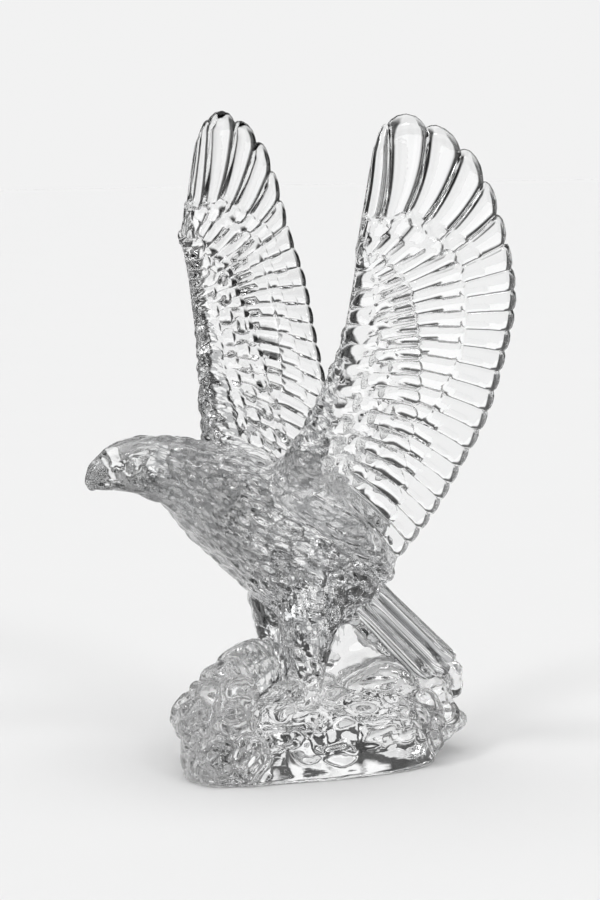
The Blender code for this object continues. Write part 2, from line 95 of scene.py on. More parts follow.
wingSizes = {
    "secondaries": 18,
    "primaries": 6,
    "rootThickness": 11.0,
    "tipThickness": 7.0,
    "rimThickness": 4.4,
    "rimBevel": 3.4,
    "edgeRound": 0.45,  # share of the last feather over which the front edge rounds off
    "leadingBand": 5.5,  # width of the carved leading edge
    "covertStep": 1.2,
    "scaleLength": 5.5,
    "scaleHeight": 0.9,
    # relief of the two faces; strengths and steps are for long feathers, outer coverts and scales
    "outer": {
        "strength": ((0.5, 0.5), (0.9, 0.0), (0.7, 1.0)),  # all over, and more on primaries or low scales
        "steps": (0, 1, 2),
        "shingle": 0.42,  # how far a feather's edge stands over the next one
        "groove": 0.8,
        "grooveSharpness": 12,
        "crown": 0.22,
        "scales": (1.0, 1.0, 0.45, 1.0),  # length, width, height and reach of the scales
        "swell": 0.4,
    },
    "inner": {
        "strength": ((0.1, 1.3), (0.6, 0.0), (0.65, 0.8)),
        "steps": (0, 0.45, 0.6),
        "shingle": 0.2,
        "groove": 0.3,
        "grooveSharpness": 8,
        "crown": 1.1,  # rounder feathers
        "scales": (1.4, 1.9, 2.0, 1.75),
        "swell": 0.2,
    },
    "flare": 0.28,
    "flareStart": -22,
    "notch": (3.0, 1.2),  # depth between the tips of the primaries and of the secondaries
    # lines across the wing as (x, z), and the share of the fan where each point lies
    "arm": ((-27.5, 119), (-25, 139), (-22.5, 161), (-22, 181), (-22, 201)),
    "armAt": (0, 0.25, 0.5, 0.75, 1),
    "bend": ((-2, 100), (7, 131.5), (8.5, 165), (13.5, 188.5), (16.5, 194), (12, 200),
             (6.5, 206), (2, 212.5), (-10, 210), (-20, 221)),
    "bendAt": (0, 0.25, 0.5, 0.708, 0.75, 0.833, 0.875, 0.917, 0.958, 1),
    "tips": ((19.5, 74), (30, 99), (38, 129.5), (39.5, 159), (39, 181.5), (33.5, 202), (28, 220),
             (20.5, 235), (11, 244), (-2, 250), (-11.5, 247.5), (-16.2, 237.7)),
    # how far the wing stands out at each height
    "lean": ((60, 2), (70, 6), (80, 12), (90, 18), (100, 23.5), (110, 28.5), (120, 33), (130, 39),
             (141, 45), (160, 53.5), (179, 60.5), (199, 66), (217, 67), (235, 66.5), (250, 65), (262, 63.5)),
    # places and tables by the share of the fan, from the lowest feather to the front edge
    "outerCovertsFrom": (0.28, 0.40),
    "lowScalesTo": (0.22, 0.42),
    "primariesFrom": (0.70, 0.80),
    "featherWidth": ((0, 16.5), (0.21, 18), (0.33, 21), (0.67, 23), (0.75, 33), (0.83, 40), (0.92, 40),
                     (0.96, 32)),
    "longCovertEnd": ((0, 0.81), (0.125, 0.75), (0.25, 0.61), (0.5, 0.476), (0.75, 0.29), (0.875, 0.20),
                      (1, 0.08)),
    "outerCovertEnd": ((0, 0.86), (0.167, 0.79), (0.29, 0.66), (0.42, 0.66), (0.54, 0.69), (0.75, 0.59),
                       (0.875, 0.47), (1, 0.35)),
    # the inner face carries longer coverts, up to a row of short ones near the trailing edge
    "innerLongEnd": ((0, 0.79), (0.25, 0.78), (0.5, 0.75), (0.75, 0.60), (0.875, 0.36), (1, 0.2)),
    "innerOuterEnd": ((0, 0.89), (0.25, 0.89), (0.5, 0.87), (0.75, 0.74), (0.875, 0.52), (1, 0.36)),
    "scaleEnd": ((0, 0.42), (0.25, 0.32), (0.5, 0.22), (0.75, 0.12), (1, 0.03)),
}


def curveThrough(points, steps, at):
    points = np.array(points, float)
    at = np.array(at, float)
    slope = np.zeros_like(points)
    slope[1:-1] = (points[2:] - points[:-2]) / (at[2:] - at[:-2])[:, None]
    slope[0] = (points[1] - points[0]) / (at[1] - at[0])
    slope[-1] = (points[-1] - points[-2]) / (at[-1] - at[-2])
    steps = np.array(steps, float)
    k = np.clip(np.searchsorted(at, steps, side="right") - 1, 0, len(at) - 2)
    span = (at[k + 1] - at[k])[:, None]
    s = (steps - at[k])[:, None] / span
    start = (2 * s ** 3 - 3 * s ** 2 + 1) * points[k] + (s ** 3 - 2 * s ** 2 + s) * span * slope[k]
    end = (3 * s ** 2 - 2 * s ** 3) * points[k + 1] + (s ** 3 - s ** 2) * span * slope[k + 1]
    return start + end


def valueAt(table, where):
    table = np.array(table, float)
    inside = np.clip(np.atleast_1d(where), table[0, 0], table[-1, 0])
    return curveThrough(table[:, 1:2], inside, table[:, 0])[:, 0]


def lengthKeys(points):
    spans = np.sqrt(np.linalg.norm(np.diff(np.array(points, float), axis=0), axis=1))
    return np.concatenate(([0.0], np.cumsum(spans)))


def smoothStep(low, high, value):
    t = np.clip((value - low) / (high - low), 0, 1)
    return t * t * (3 - 2 * t)


def onSide(points, side):
    # points laid out for the right side, with y over zero, taken to the side asked for
    points = np.array(points, float)
    points[:, 1] *= side
    return points


def addObject(name, data):
    thing = bpy.data.objects.new(name, data)
    bpy.context.scene.collection.objects.link(thing)
    return thing


def shapeObject(name, shape, mesh=None):
    # the bmesh becomes an object's mesh and is freed
    mesh = mesh or bpy.data.meshes.new(name)
    shape.to_mesh(mesh)
    shape.free()
    return addObject(name, mesh)


def makeObject(name, verts, faces, finish=None):
    # verts in metres, turned to face outwards by the sign of the volume
    # finish is a material number for each face
    verts = np.array(verts, float)
    mesh = bpy.data.meshes.new(name)
    mesh.from_pydata(verts.tolist(), [], [list(map(int, f)) for f in faces])
    if finish is not None:
        mesh.polygons.foreach_set("material_index", np.array(finish, dtype=np.int32))
    shape = bmesh.new()
    shape.from_mesh(mesh)
    bmesh.ops.triangulate(shape, faces=shape.faces)
    if shape.calc_volume(signed=True) < 0:
        bmesh.ops.reverse_faces(shape, faces=shape.faces)
    return shapeObject(name, shape, mesh)


def loft(name, rings):
    rings = [np.array(ring, float) for ring in rings]
    count = len(rings[0])
    verts = np.concatenate(rings + [rings[0].mean(axis=0)[None], rings[-1].mean(axis=0)[None]])
    first = len(rings) * count
    faces = []
    for r in range(len(rings) - 1):
        for i in range(count):
            j = (i + 1) % count
            faces.append((r * count + i, r * count + j, (r + 1) * count + j, (r + 1) * count + i))
    last = (len(rings) - 1) * count
    for i in range(count):
        j = (i + 1) % count
        faces.append((first, j, i))
        faces.append((first + 1, last + i, last + j))
    return makeObject(name, verts, faces)


def tube(name, centres, radii, sides=20, rings=None):
    # limb along a path in mm, with radii in mm; rings > len(centres) smooths both
    centres = np.array(centres, float)
    radii = np.array(radii, float)
    if rings:
        keys = lengthKeys(centres)
        at = np.linspace(0, keys[-1], rings)
        centres = curveThrough(centres, at, keys)
        radii = np.maximum(curveThrough(radii[:, None], at, keys)[:, 0], 0.15)
    tangents = np.gradient(centres, axis=0)
    out = []
    for centre, tangent, radius in zip(centres, tangents, radii):
        tangent = tangent / np.linalg.norm(tangent)
        across = np.cross(tangent, (1.0, 0.0, 0.31))
        across = across / np.linalg.norm(across)
        over = np.cross(tangent, across)
        turn = np.linspace(0, 2 * math.pi, sides, endpoint=False)[:, None]
        out.append((centre + radius * (np.cos(turn) * across + np.sin(turn) * over)) * mm)
    return loft(name, out)


def boulder(centre, size, seed, roughness=0.07, detail=4, tilt=0.0, flats=7):
    # ball with flat chips knocked off it, in mm
    shape = bmesh.new()
    bmesh.ops.create_icosphere(shape, subdivisions=detail, radius=1.0)
    draw = np.random.default_rng(int(seed * 10) + 7)
    planes = draw.normal(size=(flats, 3))
    planes /= np.linalg.norm(planes, axis=1)[:, None]
    depth = draw.uniform(0.74, 0.92, flats)
    points = np.array([v.co for v in shape.verts])
    for normal, limit in zip(planes, depth):
        over = points @ normal - limit
        points = points - np.clip(over, 0, None)[:, None] * normal
    wave = np.sin(3.1 * points[:, 0] + seed) * np.cos(2.7 * points[:, 1] + 1.7 * seed)
    wave += np.sin(4.3 * points[:, 2] + 2.3 * seed + points[:, 0])
    points = points * (1 + roughness * wave)[:, None]
    cos, sin = math.cos(tilt), math.sin(tilt)
    turned = np.column_stack((points[:, 0] * cos - points[:, 2] * sin, points[:, 1],
                              points[:, 0] * sin + points[:, 2] * cos))
    placed = (np.array(centre) + np.array(size) * turned) * mm
    for vert, co in zip(shape.verts, placed):
        vert.co = co
    return shapeObject("boulder", shape)


def wingReach(x, z):
    # how far the middle of the wing stands out from the middle of the bird
    return valueAt(wingSizes["lean"], z) + wingSizes["flare"] * (x - wingSizes["flareStart"])


def featherPlaces(s):
    # columns across the fan, counted in feathers, closer together beside the grooves
    narrow = (0, 0.06, 0.2, 0.5, 0.8, 0.94)
    wide = (0, 0.04, 0.12, 0.27, 0.5, 0.73, 0.88, 0.96)
    places = [i + f for i in range(s["secondaries"]) for f in narrow]
    places += [s["secondaries"] + i + f for i in range(s["primaries"]) for f in wide]
    return np.array(places + [s["secondaries"] + s["primaries"]], float)


def featherLines(s, places):
    count = s["secondaries"] + s["primaries"]
    fan = places / count
    start = curveThrough(s["arm"], fan, s["armAt"])
    bend = curveThrough(s["bend"], fan, s["bendAt"])
    keys = lengthKeys(s["tips"])
    fine = curveThrough(s["tips"], np.linspace(0, keys[-1], 800), keys)
    run = np.concatenate(([0.0], np.cumsum(np.linalg.norm(np.diff(fine, axis=0), axis=1))))
    edges = np.concatenate(([0.0], np.cumsum(valueAt(s["featherWidth"], np.arange(count) / count))))
    along = np.interp(places, np.arange(count + 1), edges / edges[-1] * run[-1])
    tip = np.column_stack((np.interp(along, run, fine[:, 0]), np.interp(along, run, fine[:, 1])))
    share = places % 1.0
    hollow = np.abs(2 * share - 1) ** 2.6
    primary = places >= s["secondaries"]
    deep, shallow = s["notch"]
    depth = np.where(primary, np.where(places < count - 1.3, deep, shallow), shallow) * hollow
    depth[places >= count - 0.2] = 0
    length = np.linalg.norm(tip - bend, axis=1) + np.linalg.norm(bend - start, axis=1)
    return fan, start, bend, tip, length, 1 - depth / length


def featherRelief(s, places, fan, share, length, tier, tierEnd, face):
    # height in mm that the carving adds to the wing's half thickness
    shifted = places + (0.5 if tier == 1 else 0.0)
    across = np.abs(2 * (shifted % 1.0) - 1)
    over = shifted % 1.0 - 0.5
    primary = smoothStep(*s["primariesFrom"], fan)
    low = 1 - smoothStep(*s["lowScalesTo"], fan)
    base, gain = face["strength"][tier]
    strength = base + gain * (primary, 0, low)[tier]
    relief = face["shingle"] * over - face["groove"] * across ** face["grooveSharpness"]
    relief = (relief - face["crown"] * across ** 2) * strength * smoothStep(0.05, 0.2, share)
    if tier == 2:
        # rounded scales between the leading edge and the long coverts
        scaleLong, scaleWide, scaleHigh, scaleFar = face["scales"]
        row = share * length / (s["scaleLength"] * scaleLong)
        spread = places / scaleWide
        odd = 0.5 * (np.floor(row) % 2)
        lobe = np.abs(2 * ((spread + odd) % 1.0) - 1)
        dome = (1 - (2 * (row % 1.0) - 1) ** 2) * (1 - lobe ** 2)
        scales = s["scaleHeight"] * scaleHigh * (dome - 0.4)
        end = valueAt(s["scaleEnd"], fan) * scaleFar
        weight = smoothStep(0.05, 0.10, share) * (1 - smoothStep(end * 0.8, end, share))
        relief = relief * (1 - weight) + scales * weight
    relief = relief + s["covertStep"] * face["steps"][tier]
    # each covert swells a little towards its own end
    return relief + face["swell"] * smoothStep(tierEnd - 0.14, tierEnd, share) * (tier > 0)


def buildWing(name, side):
    s = wingSizes
    places = featherPlaces(s)
    fan, start, bend, tip, length, end = featherLines(s, places)
    count = s["secondaries"] + s["primaries"]
    share = places % 1.0
    scallop = (0.028 + 0.02 * (fan < 0.4)) * np.abs(2 * share - 1) ** 2
    between = 0.028 * np.abs(2 * ((places + 0.5) % 1.0) - 1) ** 2
    longEnd = np.maximum(valueAt(s["longCovertEnd"], fan) - scallop, 0.07)
    apart = smoothStep(*s["outerCovertsFrom"], fan)  # they run out among the lower feathers
    outerEnd = longEnd + 0.02 + (valueAt(s["outerCovertEnd"], fan) - between - longEnd - 0.02) * apart
    outerEnd = np.maximum(outerEnd, longEnd + 0.02)
    bevel = s["rimBevel"] / length
    step = 0.6 / length
    nose = np.minimum(0.08, longEnd * 0.5)

    def rowsUpTo(longEnd, outerEnd):
        # rows of points along the feathers: place, tier and end of the tier
        rows = [(nose * t, 2, longEnd) for t in (0, 0.04, 0.14, 0.32, 0.6, 1.0)]
        rows += [(nose + (longEnd - step - nose) * t, 2, longEnd) for t in np.linspace(0, 1, 25)[1:]]
        gap = outerEnd - longEnd - 2 * step
        rows += [(longEnd + step + gap * t, 1, outerEnd) for t in np.linspace(0, 1, 8)]
        gap = end - bevel - outerEnd - step
        rows += [(outerEnd + step + gap * t, 0, end) for t in np.linspace(0, 1, 13)]
        return rows + [(end - bevel * (1 - t), 0, end) for t in (0.25, 0.5, 0.7, 0.85, 0.95, 1.0)]

    rows = rowsUpTo(longEnd, outerEnd)
    innerRows = rowsUpTo(valueAt(s["innerLongEnd"], fan) - scallop,
                         valueAt(s["innerOuterEnd"], fan) - between)
    halfArm = (s["rootThickness"] + (s["tipThickness"] - s["rootThickness"]) * fan) / 2
    halfRim = s["rimThickness"] / 2
    edge = np.clip((count - places) / s["edgeRound"], 0, 1)
    edge = np.sqrt(1 - (1 - edge) ** 2) * 0.8 + 0.2
    sheets = []
    for way, faceRows, face in ((1.0, rows, s["outer"]), (-1.0, innerRows, s["inner"])):
        sheet = []
        for u, tier, tierEnd in faceRows:
            b = u[:, None]
            flat = (1 - b) ** 2 * start + 2 * b * (1 - b) * bend + b ** 2 * tip
            x, z = flat[:, 0], flat[:, 1]
            reach = wingReach(x, z)
            slope = valueAt(s["lean"], z + 0.5) - valueAt(s["lean"], z - 0.5)
            normal = np.column_stack((-s["flare"] * np.ones_like(x), np.ones_like(x), -slope))
            normal = normal / np.linalg.norm(normal, axis=1)[:, None]
            half = halfArm + (halfRim - halfArm) * np.clip(u, 0, 1) ** 0.7
            relief = featherRelief(s, places, fan, u, length, tier, tierEnd, face)
            if tier == 1 and way > 0:
                bare = featherRelief(s, places, fan, u, length, 0, tierEnd, face)
                relief = bare + (relief - bare) * apart
            front = np.clip(u / nose, 0, 1)
            front = 0.12 + 0.88 * np.sqrt(1 - (1 - front) ** 2)
            rim = np.clip((end - u) / bevel, 0, 1)
            rim = 0.18 + 0.82 * rim ** 0.75
            half = (half + relief * np.minimum(front, rim)) * front * rim * edge
            points = np.column_stack((x, reach, z)) + normal * (half * way)[:, None]
            points[:, 1] *= side
            sheet.append(points * mm)
        sheets.append(np.array(sheet))
    n = len(places)
    back = len(rows) * n
    # the leading edge takes the carved finish, as far as its band goes on each face
    bands = [[int(np.mean(u * length) < s["leadingBand"]) for u, tier, tierEnd in faceRows[1:]]
             for faceRows in (rows, innerRows)]
    faces, finish = [], []
    for r in range(len(rows) - 1):
        for c in range(n - 1):
            a, b, d, e = r * n + c, r * n + c + 1, (r + 1) * n + c, (r + 1) * n + c + 1
            faces.append((a, b, e, d))
            faces.append((back + a, back + d, back + e, back + b))
            finish += [bands[0][r], bands[1][r]]
    last = (len(rows) - 1) * n
    for c in range(n - 1):
        faces.append((c + 1, c, back + c, back + c + 1))
        faces.append((last + c, last + c + 1, back + last + c + 1, back + last + c))
    for r in range(len(rows) - 1):
        a, b = r * n, (r + 1) * n
        faces.append((a, b, back + b, back + a))
        a, b = a + n - 1, b + n - 1
        faces.append((b, a, back + a, back + b))
    finish += [0] * (len(faces) - len(finish))
    return makeObject(name, np.concatenate([sheet.reshape(-1, 3) for sheet in sheets]), faces, finish)


bodySizes = {
    # top (x, z), bottom (x, z) and half width of each section
    "profile": (
        ((-98.6, 118.5), (-98.2, 114.6), 1.6),
        ((-97.3, 120.9), (-96.6, 112.0), 3.4),
        ((-94.1, 123.6), (-93.8, 110.8), 4.7),
        ((-89.2, 127.0), (-88.3, 110.3), 6.9),
        ((-81.5, 129.6), (-81.0, 109.0), 9.6),
        ((-73.0, 130.3), (-73.6, 106.2), 11.2),
        ((-61.0, 129.2), (-66.0, 103.0), 13.2),
        ((-48.0, 126.2), (-58.6, 94.6), 18.0),
        ((-35.0, 122.4), (-49.2, 85.4), 25.0),
        ((-18.0, 115.6), (-38.2, 76.0), 29.0),
        ((-2.0, 104.0), (-25.6, 64.4), 29.0),
        ((11.0, 91.0), (-13.0, 55.0), 25.0),
        ((20.0, 80.5), (0.0, 51.5), 19.5),
        ((25.5, 71.5), (9.0, 51.0), 14.0),
    ),
    "sections": 90,
    "sides": 72,
}


def buildBody():
    s = bodySizes
    key = np.arange(len(s["profile"]))
    steps = np.linspace(0, len(key) - 1, s["sections"])
    top = curveThrough([row[0] for row in s["profile"]], steps, key)
    bottom = curveThrough([row[1] for row in s["profile"]], steps, key)
    width = valueAt([(k, s["profile"][k][2]) for k in key], steps)
    turn = np.linspace(0, 2 * math.pi, s["sides"], endpoint=False)
    lift = np.sign(np.cos(turn)) * np.abs(np.cos(turn)) ** 0.9
    out = np.sign(np.sin(turn)) * np.abs(np.sin(turn)) ** 0.9 * (1 + 0.08 * np.cos(turn))
    rings = []
    for upper, lower, half in zip(top, bottom, width):
        middle, reach = (upper + lower) / 2, (upper - lower) / 2
        ring = (middle[0] + reach[0] * lift, half * out, middle[1] + reach[1] * lift)
        rings.append(np.column_stack(ring) * mm)
    return loft("body", rings)


headSizes = {
    "hook": ((-95.2, 0, 117.5), (-97.2, 0, 114.6), (-97.0, 0, 112.2), (-96.2, 0, 110.4)),
    "hookRadii": (3.4, 2.6, 1.7, 0.7),
    "brow": ((-87.5, 5.6, 122.6), (-83.5, 7.6, 124.6), (-79.0, 8.6, 125.9), (-74.5, 9.0, 126.2)),
    "browRadii": (0.9, 2.1, 2.2, 1.0),
    "eye": (-83.2, 8.3, 120.0),
    "eyeRadius": 2.5,
}


def buildHeadParts():
    s = headSizes
    pieces = [tube("hook", s["hook"], s["hookRadii"], 16, 10)]
    for side in (-1, 1):
        pieces.append(tube("brow", onSide(s["brow"], side), s["browRadii"], 12, 10))
        eye = onSide([s["eye"]], side)[0]
        pieces.append(boulder(eye, (s["eyeRadius"],) * 3, 0, 0, 3, 0, 0))
    return pieces


shoulderSizes = {
    "path": ((-31, 23, 117), (-25, 23.5, 112.5), (-13, 23, 104.5), (-1, 21.5, 95.5), (10, 17, 84.5),
             (18, 12.5, 76), (23, 10, 70)),
    "radii": (6.5, 11.5, 13, 13, 11, 8.5, 5),
}


def buildShoulder(side):
    s = shoulderSizes
    return tube("shoulder", onSide(s["path"], side), s["radii"], 32, 30)


armSizes = {
    "inBody": ((-13, 14, 98), (-20, 21, 106)),  # where the arm starts, inside the body
    "end": 0.72,  # share of the fan where it runs out
    "inset": 3.5,
    "radii": (8.5, 9.0, 8.4, 7.6, 6.9, 6.2, 5.6, 5.1, 4.6, 4.0, 3.0),
}


def buildArm(side):
    # thick leading edge where the wing grows out of the shoulder
    s = armSizes
    places = np.linspace(0.02, s["end"], len(s["radii"]) - len(s["inBody"]))
    line = curveThrough(wingSizes["arm"], places, wingSizes["armAt"])
    x, z = line[:, 0] + s["inset"], line[:, 1]
    path = np.concatenate((s["inBody"], np.column_stack((x, wingReach(x, z), z))))
    return tube("arm", onSide(path, side), s["radii"], 28, 40)


rootSizes = {
    "across": ((0.06, 7.5), (0.2, 8.0), (0.4, 6.5), (0.55, 4.0)),  # share of the feather, thickness
    "up": ((0.0, 1), (0.08, 1), (0.18, 1), (0.3, 0.8), (0.42, 0.4)),  # share of the fan, of the thickness
    "outside": 0.45,
    "inside": 0.75,
    "drop": 0.3,
}


def buildRoot(side):
    # web of glass that fills the corner between the back and the low part of the wing
    s, w = rootSizes, wingSizes
    keys = lengthKeys(w["tips"])
    rings = []
    for share, thick in s["across"]:
        ring = []
        for fan, grow in s["up"]:
            start = curveThrough(w["arm"], [fan], w["armAt"])[0]
            bend = curveThrough(w["bend"], [fan], w["bendAt"])[0]
            tip = curveThrough(w["tips"], [fan * keys[-1]], keys)[0]
            x, z = (1 - share) ** 2 * start + 2 * share * (1 - share) * bend + share ** 2 * tip
            ring.append((x, wingReach(x, z)[0], z, thick * grow))
        outer = [(x, y + t * s["outside"], z - t * s["drop"]) for x, y, z, t in ring]
        inner = [(x, y - t * s["inside"], z) for x, y, z, t in ring]
        rings.append(onSide(outer + inner[::-1], side) * mm)
    return loft("root", rings)


legSizes = {
    "path": ((-5, 6, 79), (-9, 11, 68), (-12, 14.0, 57), (-13.5, 15.2, 46), (-13.2, 15.5, 36),
             (-12.5, 15.6, 26), (-12.5, 15.8, 18)),
    "radii": (11.0, 14.0, 12.2, 9.0, 6.4, 5.1, 5.6),
    "stride": (7.0, 9.0),  # how far back and up the right foot stands
    "toes": (
        ((-13, 16, 27), (-22, 17.5, 31.5), (-31, 19.5, 32.0), (-38, 21, 28.5)),
        ((-13, 17, 26), (-13.5, 22.5, 25.5), (-15.0, 29.5, 21), (-16.2, 35.0, 13.0)),
        ((-12, 16, 26), (-6, 20.5, 29.0), (0.5, 22.5, 28.5), (5.5, 23.5, 25.0)),
        ((-11, 14, 26), (-6, 11.5, 30.0), (-1, 10.5, 30.5), (3.5, 10.0, 28.0)),
    ),
    "toeRadii": (4.65, 3.6, 3.3, 0.9),
}


def buildLeg(side):
    s = legSizes
    back, up = s["stride"] if side > 0 else (0.0, 0.0)
    path = np.array(s["path"], float)
    path[2:, 0] += back * np.linspace(0.4, 1, 5)
    path[3:5, 2] += up / 2
    path[5:, 2] += up
    pieces = [tube("leg", onSide(path, side), s["radii"], 24, 24)]
    for toe in s["toes"]:
        path = onSide(toe, side) + np.array((back, 0, up))
        pieces.append(tube("toe", path, s["toeRadii"], 16, 14))
    return pieces


tailSizes = {
    "feathers": 8,
    "columns": 145,
    "rings": 24,
    "start": -44,
    "end": 21.0,
    "middle": 50,  # height of the tail's axis over the line through the origin
    "slant": -45.0,
    "reach": 19.2,
    "widen": (0.88, 0.16),  # share of the reach at the rump and what the tip adds
    "spread": 1.75,  # half angle that the feathers cover, in radians
    "crest": 2.4,
    "slope": 1.5,
    "barb": 0.25,
    "sideShort": 13.5,  # how much shorter the outer feathers are
    "notch": 2.0,
}


def buildTail():
    s = tailSizes
    place = np.linspace(0, s["feathers"], s["columns"])
    turn = np.linspace(-s["spread"], s["spread"], s["columns"])
    crest = np.abs(2 * (place % 1.0) - 1)
    slope = (place + 0.04) % 1.0
    barb = np.abs(2 * ((2 * place) % 1.0) - 1)
    carving = s["crest"] * crest ** 2.5 + s["slope"] * slope + s["barb"] * barb
    tip = s["end"] - s["sideShort"] * (np.abs(turn) / s["spread"]) ** 1.6 - s["notch"] * crest ** 3
    cos, sin = math.cos(math.radians(s["slant"])), math.sin(math.radians(s["slant"]))
    rings = []
    for t in np.linspace(0, 1, s["rings"]):
        reach = s["reach"] * (s["widen"][0] + s["widen"][1] * t) - carving * min(1.0, 3 * t)
        reach = reach * (1 - 0.16 * max(0, (t - 0.93) / 0.07) ** 2)
        along = s["start"] + t * (tip - s["start"])
        above = s["middle"] + reach * np.cos(turn)
        rings.append(np.column_stack((along * cos - above * sin, reach * np.sin(turn),
                                      along * sin + above * cos)) * mm)
    return loft("tail", rings)


rockSizes = {
    "foot": ((-65, -14), (-60, -29), (-33, -36.5), (-4, -41), (22, -39), (38, -27), (48, -4), (45, 23),
             (18, 38), (-18, 36), (-45, 20), (-60, 0)),
    # height and share of the foot's outline at each layer of the block under the boulders
    "layers": ((0.0, 0.985), (1.2, 1.0), (11, 0.99), (15, 0.93), (19, 0.83), (22, 0.70), (24, 0.5)),
    # place and three half sizes of each boulder
    "lumps": (
        (-59, -12, 13, 7.5, 9, 9), (-55, -5, 21, 9, 9, 8), (-46, 1, 27, 9, 9, 9),
        (-57, -24, 10, 8, 8, 9), (-49, -21, 20, 9, 9, 9), (-41, -8, 28, 10, 9, 9),
        (-47, -30, 9, 8, 7, 9), (-23, 11, 34, 15, 12, 13.5), (-36, 6, 30, 12, 11, 11),
        (-30, -19, 18, 13, 13, 10), (-9, -18, 16, 15, 15, 10), (21, -12, 28, 15, 11, 8),
        (43, -12, 21, 10, 10, 10), (49, -3, 15, 10, 10, 12), (35, -20, 9, 10, 9, 9),
        (24, -27, 17, 11, 8, 8), (47, -2, 27, 10, 10, 8), (5, -24, 23, 13, 9, 7),
        (-3, -35, 13.5, 14, 6, 8.5), (24, 8, 25, 18, 12, 10), (52, -8, 27, 9, 9, 9),
        (44, -16, 13, 12, 9, 10), (-26, -33, 13, 11, 6.5, 8), (9, -36, 14, 12, 6, 8),
        (31, -29, 12, 10, 7, 9), (-12, -37, 9, 8, 5, 6), (-8, -29, 18, 12, 9, 8),
        (13, -26, 20, 13, 9, 8), (32, -20, 19, 12, 9, 9), (-24, -26, 18, 11, 8, 9),
        (-40, 18, 17, 13, 11, 12), (-14, 27, 18, 16, 11, 12), (14, 29, 16, 15, 10, 12),
        (38, 17, 18, 13, 13, 12),
    ),
    "roughness": 0.05,
    "tilt": 0.35,
}


def buildRocks():
    s = rockSizes
    outline = np.array(s["foot"] + s["foot"][:1], float)
    ring = curveThrough(outline, np.linspace(0, len(s["foot"]), 120, endpoint=False), np.arange(len(outline)))
    middle = ring.mean(axis=0)
    rings = []
    for z, grow in s["layers"]:
        flat = middle + (ring - middle) * grow
        rings.append(np.column_stack((flat, np.full(len(flat), z))) * mm)
    pieces = [loft("base_block", rings)]
    for i, lump in enumerate(s["lumps"]):
        tilt = s["tilt"] * math.sin(1.7 * i)
        pieces.append(boulder(lump[:3], lump[3:], 1.3 * i, s["roughness"], 4, tilt))
    return pieces


webSizes = {
    "profile": ((-14, 50), (-6, 60), (8, 60), (44, 26), (48, 14), (-16, 14)),  # as (x, z)
    "middle": (15, 34),
    "layers": ((-11, 0.92), (-9.2, 1.0), (9.2, 1.0), (11, 0.92)),  # y and share of the profile
}


def buildWeb():
    # clear wall of glass between the legs, the tail and the rocks
    s = webSizes
    midX, midZ = s["middle"]
    rings = []
    for y, share in s["layers"]:
        rings.append([((midX + (x - midX) * share) * mm, y * mm, (midZ + (z - midZ) * share) * mm)
                      for x, z in s["profile"]])
    return loft("web", rings)


def joinMeshes(name, pieces):
    shape = bmesh.new()
    for piece in pieces:
        shape.from_mesh(piece.data)
        bpy.data.objects.remove(piece, do_unlink=True)
    return shapeObject(name, shape)


def bake(piece):
    # takes the result of the modifiers as the piece's own mesh
    view = bpy.context.evaluated_depsgraph_get()
    mesh = bpy.data.meshes.new_from_object(piece.evaluated_get(view))
    piece.modifiers.clear()
    piece.data = mesh
    return piece


def unite(piece, others, solver="MANIFOLD"):
    for other in others:
        union = piece.modifiers.new("union", "BOOLEAN")
        union.operation = "UNION"
        union.solver = solver
        union.object = other
    bake(piece)
    for other in others:
        bpy.data.objects.remove(other, do_unlink=True)
    return piece


def dropBubbles(piece, fewest=200):
    # removes closed crumbs of fewer faces that the joins leave inside the glass
    shape = bmesh.new()
    shape.from_mesh(piece.data)
    left = set(shape.verts)
    crumbs = []
    while left:
        island = {left.pop()}
        edge = list(island)
        while edge:
            near = [e.other_vert(vert) for vert in edge for e in vert.link_edges]
            edge = [vert for vert in set(near) if vert not in island]
            island.update(edge)
        left -= island
        if len({face for vert in island for face in vert.link_faces}) < fewest:
            crumbs += island
    bmesh.ops.delete(shape, geom=crumbs, context="VERTS")
    shape.to_mesh(piece.data)
    shape.free()
    return len(crumbs)


def triangles(piece):
    piece.data.calc_loop_triangles()
    return len(piece.data.loop_triangles)


coreSizes = {
    "voxel": 0.88,
    "smoothing": 7,
    "triangles": 128000,
    "flat": 0.4,  # points lower than this belong to the flat underside
    "sharp": 62,  # degrees between faces that stay a crisp edge
}


def buildCore():
    pieces = [buildBody(), buildShoulder(-1), buildShoulder(1), buildWeb()]
    pieces += [buildArm(-1), buildArm(1), buildRoot(-1), buildRoot(1)]
    pieces += buildHeadParts() + buildLeg(-1) + buildLeg(1) + buildRocks()
    core = joinMeshes("core", pieces)
    remesh = core.modifiers.new("cast", "REMESH")
    remesh.mode = "VOXEL"
    remesh.voxel_size = coreSizes["voxel"] * mm
    soften = core.modifiers.new("soften", "SMOOTH")
    soften.factor = 0.5
    soften.iterations = coreSizes["smoothing"]
    bake(core)
    return core


def readAll(items, name, kind=np.float64, width=1):
    values = np.empty(len(items) * width, dtype=kind)
    items.foreach_get(name, values)
    return values


def coordinates(piece):
    return readAll(piece.data.vertices, "co", width=3).reshape(-1, 3)


